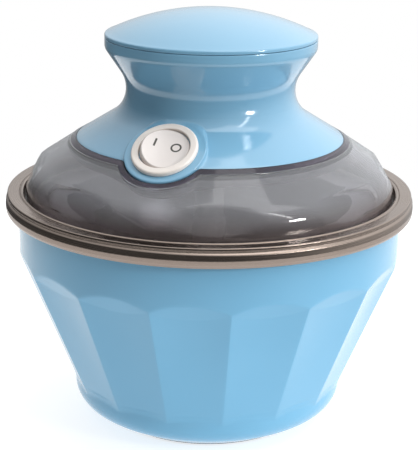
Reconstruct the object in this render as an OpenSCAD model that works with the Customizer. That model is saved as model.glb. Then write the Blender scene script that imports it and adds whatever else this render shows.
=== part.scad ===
// Single-serve ice cream maker: a gel-filled freezer canister with a steel rim, a smoky clear
// lid, and an hourglass motor unit that drops into the lid's well and turns the paddle.
// The origin is on the floor at the centre of the foot. +Z is up and -Y is the switch side.

/* [Canister] */
// Outer radius of the steel rim
rim_r = 89; // [88:0.5:90]
// Height of the steel rim's lower edge
rim_z = 95; // [94:0.5:96]
// Radius of the round band under the rim
band_r = 83.6; // [83:0.1:84]
// Radius of the round base
base_r = 60; // [59:0.5:61]
// Number of flat facets round the shell
facets = 16; // [12:1:20]
// Turn of the first ridge from the switch direction, in degrees
facet_turn = 4.4; // [0:0.1:22]
// Radius of the rubber foot
foot_r = 45; // [44:0.5:46]
// Height of the inner bowl's floor
bowl_floor_z = 39; // [38:0.5:41]
// Radius of the inner bowl's mouth
bowl_r = 62; // [60:0.5:62]

/* [Lid] */
// Outer radius of the lid's skirt
lid_r = 80; // [79.5:0.1:80.2]
// Number of finger flats round the lid's shoulder
lid_flats = 8; // [4:1:8]
// Height of the floor of the well that the motor unit stands in
well_z = 121; // [120.8:0.1:121]

/* [Motor unit] */
// Radius of the housing's foot
unit_r = 57.9; // [57.5:0.1:58]
// Radius of the housing's head and of the cap
head_r = 45.5; // [45:0.1:46]
// Height of the seam under the cap
seam_z = 169.5; // [169:0.1:170]
// Height of the top of the cap
top_z = 181.3; // [180.5:0.1:182]
// Wall of every moulded shell
wall = 2.4; // [2.2:0.1:2.6]
// Radius of the hole for the mains cord
cord_hole_r = 3.2; // [3:0.1:3.5]

/* [Switch] */
// Tilt of the switch's face from level, in degrees
switch_tilt = 34; // [33:0.5:35]
// Radius of the round boss that carries the switch
boss_r = 17; // [16.5:0.1:17]
// Outer radius of the switch bezel
bezel_r = 13.8; // [13.5:0.1:14]
// Angle that the rocker rests at each side of level, in degrees
rocker_rest = 10; // [8:1:11]

/* [Drive] */
// Module of the gear teeth
tooth_module = 0.6; // [0.6]
// Teeth on each small gear
pinion_teeth = 12; // [12]
// Teeth on each large gear
wheel_teeth = 48; // [48]
// Radius of the output shaft
shaft_r = 4.3; // [4.2:0.1:4.4]
// Width across the flats of the paddle drive
hex_flats = 7; // [6.8:0.1:7]
// Running clearance of a shaft in its bush
running = 0.03; // [0.02:0.01:0.05]

/* [Hidden] */
$fn = 128;

blue = [0.56, 0.78, 0.91];
steel = [0.62, 0.57, 0.53];
smoke = [0.42, 0.40, 0.44];
cream = [0.93, 0.88, 0.84];
charcoal = [0.22, 0.21, 0.25];

gap = 0.15; // space between faces that only lie against each other

// ---- outlines -------------------------------------------------------------------------------

function unit(v) = v / norm(v);

// The arc that rounds corner b, between a and c, with radius r in n steps
function corner(a, b, c, r, n) =
    let (u = unit(a - b), v = unit(c - b), half = acos(u * v) / 2,
         m = b + unit(u + v) * r / sin(half),
         p = b + u * r / tan(half) - m, q = b + v * r / tan(half) - m,
         from = atan2(p.y, p.x), turn = (atan2(q.y, q.x) - from + 540) % 360 - 180)
    [for (i = [0 : n]) m + r * [cos(from + turn * i / n), sin(from + turn * i / n)]];

// A closed outline of [x, y] and [x, y, radius] corners, with the given ones rounded
function rounded(p, n = 6) = [
    for (i = [0 : len(p) - 1])
        let (k = len(p), a = p[(i + k - 1) % k], b = p[i], c = p[(i + 1) % k])
        each len(b) < 3 ? [b] : corner([a.x, a.y], [b.x, b.y], [c.x, c.y], b[2], n)];

module turned(p, n = 6) rotate_extrude() polygon(rounded(p, n));

module ring(outer, inner, low, high) turned([[inner, low], [outer, low], [outer, high], [inner, high]]);

// A round-headed screw that points down from z = 0, with its head above
module screw(r, length, head_r, head_h) {
    translate([0, 0, -length]) cylinder(r = r, h = length + head_h / 2, $fn = 32);
    difference() {
        cylinder(r = head_r, h = head_h, $fn = 32);
        translate([-head_r, -0.4, head_h * 0.6]) cube([2 * head_r, 0.8, head_h]);
    }
}

// ---- canister -------------------------------------------------------------------------------

shell_top = 96.6;     // upper edge of the shell, inside the rim
shell_floor = 1;      // underside of the shell, above the rubber foot
base_top = 17.5;      // where the round base gives way to the facets
ridge_slope = 0.4075; // how fast a ridge leans out as it rises
ridge_top = 73.8;     // where a ridge runs out into the band
facet_lean = atan(ridge_slope * cos(180 / facets));

function ridge(z) = band_r + ridge_slope * (z - ridge_top);
function facet(z) = ridge(z) * cos(180 / facets);

// The half-space outside each facet's plane
module facet_cuts() {
    for (i = [1 : facets])
        rotate(270 + facet_turn + (i + 0.5) * 360 / facets)
            translate([facet(ridge_top), 0, ridge_top])
                rotate([0, facet_lean, 0]) translate([0, -60, -100]) cube([60, 120, 200]);
}

shell_inside = [
    [0, 3.6], [44, 3.6], [57.4, 11, 8], [57.4, base_top + 1],
    [facet(ridge_top) - 2.6, ridge_top], [band_r - wall, 78.5], [band_r - wall, 100], [0, 100]];

module outer_shell() color(blue) difference() {
    union() {
        turned([[0, shell_floor], [foot_r + 1, shell_floor], [base_r, 9, 10], [base_r, base_top + 2],
                [base_r - 2, base_top + 4], [0, base_top + 4]]);
        difference() {
            turned([[0, 12], [ridge(12) + 0.4, 12], [band_r, ridge_top - 1], [band_r, shell_top],
                    [0, shell_top]]);
            facet_cuts();
        }
    }
    turned(shell_inside);
    ring(foot_r, foot_r - 6, 0, 2.2);
    cylinder(r = 10, h = 2.2);
    cylinder(r = 7, h = 10);
}

bowl_wall = 1.3;
bowl_foot_r = 46.8; // where the bowl's wall would meet its floor
bowl_flange_z = 98; // top of the flange that closes the canister

bowl_inside = [[0, bowl_floor_z], [bowl_foot_r, bowl_floor_z, 12.6], [bowl_r, 99], [0, 99]];
bowl_outside = [
    [0, bowl_floor_z - bowl_wall], [bowl_foot_r + 1.2, bowl_floor_z - bowl_wall, 13.9],
    [bowl_r + bowl_wall, bowl_flange_z - bowl_wall], [bowl_r + bowl_wall, bowl_flange_z + 1],
    [0, bowl_flange_z + 1]];

module inner_bowl() color([0.80, 0.80, 0.80]) {
    difference() {
        union() {
            turned(bowl_outside, 8);
            cylinder(r = band_r - 0.2, h = bowl_flange_z);
        }
        translate([0, 0, bowl_flange_z]) cylinder(r = 90, h = 5);
        difference() {
            translate([0, 0, -1]) cylinder(r = 90, h = bowl_flange_z - bowl_wall + 1);
            turned(bowl_outside, 8);
        }
        turned(bowl_inside, 8);
    }
    translate([0, 0, bowl_floor_z - 0.5]) cylinder(r1 = 4, r2 = 3, h = 4.5, $fn = 48);
}

gel_top = 88; // the gel stops short of the flange, so that it can swell as it freezes

module coolant_gel() color([0.75, 0.88, 0.95]) difference() {
    turned([[0, 3.6 + gap], [44, 3.6 + gap], [57.4 - gap, 11, 8], [57.4 - gap, base_top + 1],
            [facet(ridge_top) - 2.75, ridge_top], [band_r - wall - gap, 78.5],
            [band_r - wall - gap, gel_top], [0, gel_top]]);
    turned([[0, bowl_floor_z - bowl_wall - gap],
            [bowl_foot_r + 1.4, bowl_floor_z - bowl_wall - gap, 13.9],
            [bowl_r + bowl_wall + 0.6, bowl_flange_z], [0, bowl_flange_z]], 8);
}

// Pressed steel: a bulged outer band, a rolled lip, a level top, a bead and an inner drop
module rim_ring() color(steel) turned([
    [rim_r - 1, rim_z], [rim_r - 0.1, rim_z + 1.2], [rim_r, rim_z + 3.4], [rim_r - 0.3, rim_z + 5.6],
    [rim_r - 1.1, rim_z + 6.3], [rim_r - 1.1, rim_z + 6.9], [rim_r - 0.8, rim_z + 7.2],
    [rim_r - 0.9, rim_z + 8.2, 0.5], [83.2, rim_z + 8.2], [82.9, rim_z + 7.8], [82.6, rim_z + 8.2],
    [82.0, rim_z + 8.5], [81.3, rim_z + 8.2], [81.0, rim_z + 7.6], [81.0, bowl_flange_z + 0.1],
    [82.2, bowl_flange_z + 0.1], [82.2, rim_z + 6.9], [rim_r - 2.5, rim_z + 6.9], [rim_r - 2.5, rim_z]]);

gasket_top = 99.2;

module rim_gasket() color([0.85, 0.85, 0.83])
    turned([[75.5, bowl_flange_z + 0.05], [80.4, bowl_flange_z + 0.05], [80.4, gasket_top, 0.5],
            [75.5, gasket_top, 0.5]], 3);

module foot_ring() color([0.25, 0.25, 0.26])
    turned([[foot_r - 5.9, 0, 0.6], [foot_r - 0.1, 0, 0.6], [foot_r - 0.1, 2.15],
            [foot_r - 5.9, 2.15]], 3);

module fill_plug() color([0.80, 0.86, 0.90]) {
    translate([0, 0, shell_floor]) cylinder(r = 9.6, h = 1.1);
    translate([0, 0, shell_floor]) cylinder(r = 6.85, h = 2.6);
}

// ---- lid ------------------------------------------------------------------------------------

cone_slope = 1.5125; // how far the lid's cone spreads for each millimetre that it falls
lip_z = 126.2;       // upper edge of the cone, round the motor unit's foot
cone_lip_r = 58.5;
shoulder_z = lip_z - (lid_r - cone_lip_r) / cone_slope;
cone_drop = wall * norm([cone_slope, 1]) / cone_slope;
well_r = unit_r + 0.1;
well_floor = 2.4;
lid_foot = gasket_top + 0.1;
flat_lean = 30; // tilt of a finger flat's normal above level
shoulder_round = 11;

switch_r = 51.4; // where the switch axis leaves the housing: radius and height
switch_z = 131;
pocket = 5.2;    // depth of the boss behind its face

// Turns +Z outwards along the switch's axis, with +Y up the slope
module at_switch() translate([0, -switch_r, switch_z]) rotate([switch_tilt, 0, 0]) children();

module boss(r, low, high) at_switch() translate([0, 0, low]) cylinder(r = r, h = high - low);

// The half-space outside each finger flat, moved inwards by depth
module flat_cuts(depth) {
    for (i = [1 : lid_flats])
        rotate((i + 0.5) * 360 / lid_flats)
            translate([lid_r - shoulder_round, 0, shoulder_z - 5.91])
                rotate([0, 90 - flat_lean, 0])
                    translate([-20, -30, shoulder_round - 2 - depth]) cube([40, 60, 20]);
}

module lid_solid() difference() {
    turned([[0, lid_foot], [lid_r, lid_foot], [lid_r, shoulder_z, shoulder_round],
            [cone_lip_r, lip_z], [0, lip_z]], 10);
    flat_cuts(0);
}

module lid_hollow() difference() {
    turned([[0, lid_foot - 1], [lid_r - wall, lid_foot - 1],
            [lid_r - wall, lip_z - cone_drop - (lid_r - wall - cone_lip_r) / cone_slope,
             shoulder_round - wall],
            [cone_lip_r, lip_z - cone_drop], [0, lip_z - cone_drop]], 10);
    flat_cuts(wall);
}

module lid() color(smoke) difference() {
    union() {
        difference() {
            lid_solid();
            lid_hollow();
        }
        intersection() {
            lid_solid();
            union() {
                translate([0, 0, well_z - well_floor]) cylinder(r = well_r + wall, h = 10);
                boss(boss_r + 0.4 + wall, -pocket - 0.2 - well_floor, 3);
            }
        }
    }
    translate([0, 0, well_z]) cylinder(r = well_r, h = 20);
    boss(boss_r + 0.4, -pocket - 0.2, 20);
    cylinder(r = 7, h = 200);
}

bush_flange_z = well_z - well_floor - 0.05;

module lid_bush() color([0.90, 0.90, 0.88]) difference() {
    union() {
        translate([0, 0, bush_flange_z - 1.2]) cylinder(r = 9.5, h = 1.2);
        translate([0, 0, bush_flange_z - 0.6]) cylinder(r = 6.95, h = well_floor + 0.6);
    }
    cylinder(r = shaft_r + 0.2, h = 200);
}

// ---- motor unit: casing ---------------------------------------------------------------------

plate_z = well_z + 0.3;    // underside of the base plate
plate_top = plate_z + 2.5;
housing_z = lip_z - 0.3;   // lower edge of the housing
face = 2.3;                // wall of the boss behind its face
neck_z = 143.4;            // corner that the neck's round is drawn from
neck_corner_r = 30.9;
neck_round = 13.7;
head_z = 165.1;            // corner where the head's flare turns upright
rear_hole_z = 147.5;
base_screw_r = 48;         // circle of the base screws

module housing_solid() turned([
    [0, housing_z], [unit_r, housing_z], [unit_r, housing_z + 0.6],
    [neck_corner_r, neck_z, neck_round], [head_r, head_z, 4], [head_r, seam_z - 0.2],
    [0, seam_z - 0.2]], 10);

module housing_hollow() turned([
    [0, housing_z - 6], [unit_r - wall, housing_z - 6], [unit_r - wall, housing_z - 0.7],
    [27.48, 142.68, neck_round + wall], [head_r - wall, head_z + 0.7, 1.6],
    [head_r - wall, seam_z + 6], [0, seam_z + 6]], 10);

module base_screw_places() for (i = [0 : 3]) rotate(45 + 90 * i) translate([base_screw_r, 0, 0]) children();

module motor_housing() color(blue) difference() {
    union() {
        difference() {
            union() {
                housing_solid();
                boss(boss_r, -face, 0);
                intersection() {
                    boss(boss_r, -9, 0);
                    translate([-30, -90, housing_z]) cube([60, 90, 30]);
                }
            }
            housing_hollow();
            boss(boss_r - wall, -22, -face);
        }
        intersection() {
            base_screw_places() translate([0, 0, plate_top + 0.1]) cylinder(r = 4, h = 12);
            housing_solid();
        }
    }
    boss(bezel_r + 0.2, 0, 8);
    boss(11.75, -10, 1);
    base_screw_places() translate([0, 0, plate_top - 1]) cylinder(r = 1.55, h = 7);
    translate([0, 20, rear_hole_z]) rotate([-90, 0, 0]) cylinder(r = 5, h = 30);
}

cap_round = 103.4; // radius of the cap's dome
cap_centre = top_z - cap_round;

module top_cap() color(blue) difference() {
    union() {
        intersection() {
            translate([0, 0, cap_centre]) sphere(r = cap_round, $fn = 256);
            turned([[0, seam_z], [head_r, seam_z], [head_r, seam_z + 1.4, 0.8], [head_r - 2.5, top_z],
                    [0, top_z]]);
        }
        ring(head_r - wall - 0.15, head_r - 2 * wall, seam_z - 3.5, seam_z + 1);
    }
    intersection() {
        translate([0, 0, cap_centre]) sphere(r = cap_round - wall, $fn = 256);
        translate([0, 0, seam_z - 5]) cylinder(r = head_r - 2 * wall, h = 30);
    }
}

module base_plate() color(charcoal) difference() {
    union() {
        translate([0, 0, plate_z]) cylinder(r = unit_r - 0.3, h = housing_z - 0.2 - plate_z);
        intersection() {
            boss(boss_r, -pocket, -face - 0.15);
            union() {
                difference() {
                    translate([-30, -90, 100]) cube([60, 90, housing_z - 0.2 - 100]);
                    cylinder(r = unit_r - 3, h = 200);
                }
                translate([0, 0, plate_z]) cylinder(r = unit_r - 1, h = housing_z - 0.2 - plate_z);
            }
        }
    }
    translate([0, 0, plate_top]) cylinder(r = unit_r - 0.3 - wall, h = 10);
    boss(boss_r - wall, -pocket + 1.2, 10);
    cylinder(r = 9, h = 200);
    base_screw_places() {
        cylinder(r = 1.7, h = 200);
        translate([0, 0, plate_z - 1]) cylinder(r = 3.8, h = 2.6);
    }
    gear_posts() {
        cylinder(r = 1.7, h = 200);
        translate([0, 0, plate_z - 1]) cylinder(r = 3.3, h = 2.6);
    }
}

module base_screws() color([0.7, 0.7, 0.7]) base_screw_places()
    translate([0, 0, plate_z + 1.55]) mirror([0, 0, 1]) screw(1.5, 6.5, 3.4, 1.4);

module cord_gland() color([0.15, 0.15, 0.16]) difference() {
    union() {
        difference() {
            translate([0, 31, rear_hole_z]) rotate([-90, 0, 0]) cylinder(r = 7.5, h = 8.5);
            intersection() {
                housing_solid();
                translate([-20, 0, rear_hole_z - 20]) cube([40, 60, 40]);
            }
        }
        translate([0, 30.6, rear_hole_z]) rotate([-90, 0, 0]) cylinder(r = 4.95, h = 8.9);
        translate([0, 30.6, rear_hole_z]) rotate([-90, 0, 0]) cylinder(r = 6.5, h = 2.3);
    }
    translate([0, 20, rear_hole_z]) rotate([-90, 0, 0]) cylinder(r = cord_hole_r, h = 30);
}

// ---- motor unit: switch ---------------------------------------------------------------------

rocker_ball = 10.4; // the rocker's sides are part of a ball round its pivot, so it can rock
rocker_pivot = -1;
bezel_bore = rocker_ball + 0.3;
pin_r = 0.9;
pin_root = 9; // inside the rocker

// The rocker's two pivot pins, along the line that it rocks on, or the holes for them
module pivot_pins(r, reach) for (s = [-1, 1]) rotate([90 * s, 0, 0]) translate([0, 0, pin_root])
    cylinder(r = r, h = reach - pin_root, $fn = 48);

module switch_bezel() color(cream) at_switch() difference() {
    turned([[bezel_bore, -3.8], [11.6, -3.8], [11.6, 0.05], [bezel_r, 0.05], [bezel_r, 2, 1.2],
            [bezel_bore, 2, 0.5]], 5);
    translate([0, 0, rocker_pivot]) pivot_pins(pin_r + 0.08, 11.8);
}

module switch_rocker() color(cream) at_switch() translate([0, 0, rocker_pivot])
    rotate([0, rocker_rest, 0]) {
        difference() {
            intersection() {
                sphere(r = rocker_ball);
                translate([-20, -20, -1]) cube([40, 40, 4.7]);
            }
            translate([0, 20, 43]) rotate([90, 0, 0]) cylinder(r = 40.4, h = 40, $fn = 256);
        }
        translate([-1.5, 5.2, -7.6]) cube([3, 2.6, 7.4]);
        pivot_pins(pin_r, 11.4);
    }

module switch_body() color(charcoal) difference() {
    translate([-9, -49, plate_top + 0.3]) cube([18, 12, 3.4]);
    translate([-4, -46.5, plate_top + 1.5]) cube([8, 7, 5]);
}

module switch_terminals() color([0.80, 0.65, 0.30]) for (x = [-6.5, 3.5])
    translate([x, -36.95, plate_top + 1.6]) cube([3, 6, 0.8]);

// ---- motor unit: gear train -----------------------------------------------------------------

centre_gap = tooth_module * (pinion_teeth + wheel_teeth) / 2; // between the two gear axes
wheel_tip = tooth_module * (wheel_teeth / 2 + 0.8);
case_r = wheel_tip + 2.2;
case_z = plate_top + 0.1;
case_floor = 2.2;
cover_z = 139.4;
cover_top = 141;

// An involute tooth is drawn from its base circle out to its tip, thinned a little for backlash
pressure = 20;
backlash = 0.12;
function involute(base, r) = let (a = acos(min(1, base / r))) tan(a) * 180 / PI - a;
function tooth(n, m) =
    let (pitch = m * n / 2, base = pitch * cos(pressure), tip = pitch + 0.8 * m,
         root = pitch - 1.15 * m, low = max(base, root),
         half = 90 / n - backlash / pitch * 90 / PI + involute(base, pitch),
         flank = [for (i = [0 : 3]) low + (tip - low) * i / 3])
    concat([[root, -half]], [for (r = flank) [r, -(half - involute(base, r))]],
           [for (i = [3 : -1 : 0]) [flank[i], half - involute(base, flank[i])]], [[root, half]]);
function gear_outline(n, m) = [
    for (i = [0 : n - 1], p = tooth(n, m)) p[0] * [cos(p[1] + 360 * i / n), sin(p[1] + 360 * i / n)]];

module gear(n, h, bore) difference() {
    linear_extrude(h) polygon(gear_outline(n, tooth_module));
    translate([0, 0, -1]) cylinder(r = bore, h = h + 2, $fn = 48);
}

module case_outline(r, low, high) {
    translate([0, 0, low]) cylinder(r = r, h = high - low);
    translate([centre_gap, 0, low]) cylinder(r = r, h = high - low);
}

module gear_posts() {
    for (place = [[9, 17.8, 0], [9, -17.8, 0], [-19.6, 0, 0]]) translate(place) children();
}

module gearbox_base() color([0.85, 0.85, 0.82]) difference() {
    union() {
        case_outline(case_r, case_z, cover_z - 0.1);
        gear_posts() translate([0, 0, case_z]) cylinder(r = 3.4, h = cover_z - 0.1 - case_z);
        translate([0, 0, plate_z + 0.3]) cylinder(r = 8.5, h = 3);
    }
    case_outline(case_r - 1.6, case_z + case_floor, cover_z + 1);
    cylinder(r = 6.55, h = 200);
    gear_posts() {
        translate([0, 0, case_z - 1]) cylinder(r = 1.55, h = 8);
        translate([0, 0, cover_z - 7]) cylinder(r = 1.55, h = 8);
    }
    translate([centre_gap, 0, case_z + 0.8]) cylinder(r = 1.55, h = 10);
}

motor_screw_r = 29; // distance of the motor's two screws from the axis
motor_turn = 68;    // they lie clear of the cord gland

module motor_screw_places() for (s = [-1, 1]) rotate(motor_turn) translate([s * motor_screw_r, 0, 0]) children();

// The flat strip that joins the two screw places, of that width between two heights
module motor_strip(width, low, high) rotate(motor_turn)
    translate([-motor_screw_r, -width / 2, low]) cube([2 * motor_screw_r, width, high - low]);

module gearbox_cover() color([0.85, 0.85, 0.82]) difference() {
    union() {
        case_outline(case_r, cover_z, cover_top);
        gear_posts() translate([0, 0, cover_z]) cylinder(r = 3.4, h = cover_top - cover_z);
        motor_strip(8, cover_z, cover_top);
        motor_screw_places() translate([0, 0, cover_z - 3]) cylinder(r = 4, h = cover_top - cover_z + 3);
    }
    cylinder(r = 4.05, h = 200);
    gear_posts() cylinder(r = 1.7, h = 200);
    motor_screw_places() cylinder(r = 1.55, h = 200);
    translate([centre_gap, 0, cover_z - 1]) cylinder(r = 1.55, h = 1.8);
}

module gearbox_screws() color([0.7, 0.7, 0.7]) gear_posts()
    translate([0, 0, cover_top + 0.05]) screw(1.5, 6, 2.8, 1.4);

module gearbox_mount_screws() color([0.7, 0.7, 0.7]) gear_posts()
    translate([0, 0, plate_z + 1.55]) mirror([0, 0, 1]) screw(1.5, 6.5, 3, 1.4);

module output_bush() color([0.72, 0.52, 0.30]) difference() {
    union() {
        translate([0, 0, plate_z + 0.4]) cylinder(r = 6.5, h = 5);
        translate([0, 0, case_z + case_floor + 0.05]) cylinder(r = 8, h = 0.8);
    }
    cylinder(r = shaft_r + running, h = 200);
}

module layshaft_pin() color([0.7, 0.7, 0.72])
    translate([centre_gap, 0, case_z + 0.85]) cylinder(r = 1.5, h = cover_z + 0.75 - case_z - 0.85);

lay_z = 127.4;   // underside of the lower gears
stage_z = 134.4; // underside of the upper gears

module compound_gear() color([0.93, 0.93, 0.90]) translate([centre_gap, 0, 0]) difference() {
    union() {
        translate([0, 0, lay_z - 0.3]) rotate(180 / pinion_teeth) gear(pinion_teeth, 6.2, 1);
        translate([0, 0, lay_z + 5.8]) cylinder(r = 5, h = stage_z - lay_z - 5.7);
        translate([0, 0, stage_z]) rotate(180 / wheel_teeth) gear(wheel_teeth, 4, 1);
    }
    cylinder(r = 1.5 + running, h = 200, $fn = 48);
}

module output_gear() color([0.93, 0.93, 0.90]) translate([0, 0, lay_z])
    gear(wheel_teeth, 5.4, shaft_r + 0.01);

hex_top = 119.5;
hex_low = 105;
shaft_top = 133.7;
clip_z = lay_z + 5.45;

module output_shaft() color([0.66, 0.66, 0.68]) difference() {
    union() {
        translate([0, 0, hex_top]) cylinder(r = shaft_r, h = shaft_top - hex_top);
        translate([0, 0, hex_low]) cylinder(r = hex_flats / 2 / cos(30), h = hex_top - hex_low + 0.5, $fn = 6);
    }
    ring(shaft_r + 1, shaft_r - 0.8, clip_z, clip_z + 0.7);
}

module output_clip() color([0.3, 0.3, 0.32]) translate([0, 0, clip_z + 0.05]) difference() {
    cylinder(r = 6.4, h = 0.6);
    translate([0, 0, -1]) cylinder(r = shaft_r - 0.75, h = 3);
    translate([-2.2, 0, -1]) cube([4.4, 10, 3]);
}

// ---- motor unit: motor ----------------------------------------------------------------------

motor_r = 25;
can_z = 142.4;
can_top = 161;
poles = 6;

module motor_endplate() color([0.6, 0.6, 0.62]) difference() {
    union() {
        translate([0, 0, cover_top + 0.1]) cylinder(r = motor_r, h = 1.2);
        motor_strip(9, cover_top + 0.1, cover_top + 1.3);
        motor_screw_places() translate([0, 0, cover_top + 0.1]) cylinder(r = 4.5, h = 1.2);
    }
    cylinder(r = 4.05, h = 200);
    motor_screw_places() cylinder(r = 1.7, h = 200);
    gear_posts() cylinder(r = 3.1, h = 200);
}

module motor_can() color([0.6, 0.6, 0.62]) difference() {
    translate([0, 0, can_z]) cylinder(r = motor_r, h = can_top - can_z);
    translate([0, 0, can_z - 1]) cylinder(r = motor_r - 1, h = can_top - can_z);
    cylinder(r = 4.05, h = 200);
    for (x = [-3, 3]) translate([x, -20.5, 150]) cylinder(r = 1.3, h = 20, $fn = 32);
}

module motor_screws() color([0.7, 0.7, 0.7]) motor_screw_places()
    translate([0, 0, cover_top + 1.35]) screw(1.5, 5, 2.8, 1.4);

claw_r = 10.3; // inner radius of the claws, round the magnet
claw_h = 13.5;

// One stator plate with claws that stand up between the other plate's claws
module claw_plate() {
    difference() {
        cylinder(r = motor_r - 1.2, h = 1);
        translate([0, 0, -1]) cylinder(r = claw_r - 0.8, h = 3);
    }
    for (i = [0 : poles - 1]) rotate(i * 360 / poles) intersection() {
        ring(claw_r + 1, claw_r, 0.5, claw_h);
        translate([0, -2.3, 0]) cube([20, 4.6, 20]);
    }
}

module stator_plate_lower() color([0.45, 0.45, 0.47]) translate([0, 0, can_z + 0.1]) claw_plate();

module lead_holes() for (x = [-3, 3]) translate([x, -20.5, -2]) cylinder(r = 1.3, h = 3, $fn = 32);

module stator_plate_upper() color([0.45, 0.45, 0.47]) translate([0, 0, can_top - 1.1]) difference() {
    mirror([0, 0, 1]) rotate(180 / poles) claw_plate();
    lead_holes();
}

module coil_bobbin() color([0.85, 0.82, 0.70]) difference() {
    turned([[11.6, 143.7], [22.8, 143.7], [22.8, 144.6], [12.8, 144.6], [12.8, 157.8], [22.8, 157.8],
            [22.8, 158.7], [11.6, 158.7]]);
    for (x = [-3, 3]) translate([x, -20.5, 157]) cylinder(r = 1.3, h = 3, $fn = 32);
}

module stator_coil() color([0.72, 0.40, 0.20])
    turned([[12.9, 144.7], [21.6, 144.7, 1], [21.6, 157.7, 1], [12.9, 157.7]], 3);

module rotor_magnet() color([0.25, 0.25, 0.27]) ring(9.8, 1.52, 144.6, 157.8);

module rotor_shaft() color([0.7, 0.7, 0.72]) translate([0, 0, 134.2]) cylinder(r = 1.5, h = 29.3, $fn = 48);

module rotor_pinion() color([0.80, 0.65, 0.30]) translate([0, 0, 134.2]) gear(pinion_teeth, 4.5, 1.52);

module rotor_bushes() color([0.72, 0.52, 0.30]) {
    ring(4, 1.5 + running, 139.3, 143.4);
    ring(4, 1.5 + running, 159.2, 162.6);
}

// ---- motor unit: wiring ---------------------------------------------------------------------

module terminal_block() color([0.90, 0.90, 0.86]) difference() {
    translate([-14, 8, can_top + 0.1]) cube([28, 9, 7]);
    for (x = [-9, 0, 9]) translate([x, 12.5, can_top + 4]) cylinder(r = 1.8, h = 10, $fn = 32);
}

module clamp_places() for (x = [-7.5, 7.5]) translate([x, 20.5, 0]) children();

module cable_clamp() color([0.90, 0.90, 0.86]) difference() {
    translate([-10.5, 18, can_top + 0.1]) cube([21, 5, 5]);
    translate([0, 10, can_top + 1.8]) rotate([-90, 0, 0]) cylinder(r = 3, h = 20, $fn = 48);
    clamp_places() cylinder(r = 1.55, h = 200);
}

module clamp_screws() color([0.7, 0.7, 0.7]) clamp_places()
    translate([0, 0, can_top + 5.15]) screw(1.5, 5, 2.4, 1.2);

// Spacing of the rings along a wire, and a Catmull-Rom curve through its chosen points
function bend(p, i, t) =
    let (n = len(p) - 1, a = p[max(i - 1, 0)], b = p[i], c = p[min(i + 1, n)], d = p[min(i + 2, n)])
    0.5 * (2 * b + (c - a) * t + (2 * a - 5 * b + 4 * c - d) * t * t
           + (3 * b - a - 3 * c + d) * t * t * t);
function route(p, steps) = concat(
    [for (i = [0 : len(p) - 2], k = [0 : steps - 1]) bend(p, i, k / steps)], [p[len(p) - 1]]);

// A wire of radius r along a route, with eight sides
module wire(p, r) {
    q = route(p, 5);
    n = len(q);
    sides = 8;
    along = [for (i = [0 : n - 1]) unit(q[min(i + 1, n - 1)] - q[max(i - 1, 0)])];
    side = [for (v = along) unit(cross(v, abs(v.z) < 0.8 ? [0, 0, 1] : [1, 0, 0]))];
    points = [for (i = [0 : n - 1], k = [0 : sides - 1])
        q[i] + r * (side[i] * cos(k * 360 / sides) + cross(along[i], side[i]) * sin(k * 360 / sides))];
    walls = [for (i = [0 : n - 2], k = [0 : sides - 1])
        [i * sides + k, i * sides + (k + 1) % sides, (i + 1) * sides + (k + 1) % sides,
         (i + 1) * sides + k]];
    polyhedron(points, concat([[for (k = [sides - 1 : -1 : 0]) k]], walls,
                              [[for (k = [0 : sides - 1]) (n - 1) * sides + k]]));
}

module switch_leads() color([0.35, 0.22, 0.15]) for (s = [-1, 1])
    wire([[5 * s, -30.6, 126.2], [5 * s, -29.2, 126.2], [9 * s, -27.5, 127.5], [17 * s, -27, 132], [22 * s, -20, 140],
          [26.5 * s, -10, 148], [28 * s, 2, 156], [26 * s, 9, 161.5], [20 * s, 12, 164.5],
          [14.2 * s, 12.5, 164]], 0.9);

module motor_leads() color([0.20, 0.35, 0.60]) for (s = [-1, 1])
    wire([[3 * s, -20.5, 157.9], [3 * s, -20.5, 160.5], [5 * s, -17, 165], [9 * s, -4, 166],
          [9 * s, 7.8, 165]], 0.8);

// ---- paddle ---------------------------------------------------------------------------------

stem_top = bush_flange_z - 1.2 - 0.4;
blade = 3;

// One open blade: a scraper that follows the bowl's wall, joined to the hub low and high
module blade_frame() rotate([90, 0, 0]) translate([0, 0, -blade / 2]) linear_extrude(blade)
    difference() {
        polygon(rounded([[4, 43], [8, 41], [44.6, 41, 11.4], [55.6, 86, 3], [46, 88, 2], [30, 79, 8],
                         [4, 82]], 8));
        polygon(rounded([[9, 49, 3], [37.5, 49, 6], [44.8, 79.5, 2], [32, 71.5, 8], [9, 73, 3]], 6));
    }

module paddle() color([0.94, 0.94, 0.92]) difference() {
    union() {
        turned([[0, 41], [7.5, 41], [7.5, 88, 1], [6.4, 90, 1], [6.4, stem_top, 0.8], [0, stem_top]], 4);
        for (a = [0, 180]) rotate(a) blade_frame();
    }
    translate([0, 0, 40]) cylinder(r1 = 4.6, r2 = 3.4, h = 4.5, $fn = 48);
    translate([0, 0, hex_low - 2]) cylinder(r = (hex_flats + 0.5) / 2 / cos(30), h = 30, $fn = 6);
}

outer_shell();
inner_bowl();
coolant_gel();
rim_ring();
rim_gasket();
foot_ring();
fill_plug();
lid();
lid_bush();
motor_housing();
top_cap();
base_plate();
base_screws();
switch_bezel();
switch_rocker();
switch_body();
switch_terminals();
cord_gland();
gearbox_base();
gearbox_cover();
gearbox_screws();
gearbox_mount_screws();
output_bush();
layshaft_pin();
compound_gear();
output_gear();
output_shaft();
output_clip();
motor_endplate();
motor_can();
motor_screws();
stator_plate_lower();
stator_plate_upper();
coil_bobbin();
stator_coil();
rotor_magnet();
rotor_shaft();
rotor_pinion();
rotor_bushes();
terminal_block();
cable_clamp();
clamp_screws();
switch_leads();
motor_leads();
paddle();
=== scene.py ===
# Single-serve ice cream maker: a gel-filled freezer canister with a steel rim, a smoky clear lid,
# and an hourglass motor unit that stands in the lid's well and turns the paddle.
# Shapes are worked out in millimetres, with the floor at z = 0 and the switch facing -Y.
import math

import bpy
import numpy as np
from mathutils import Matrix


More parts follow.
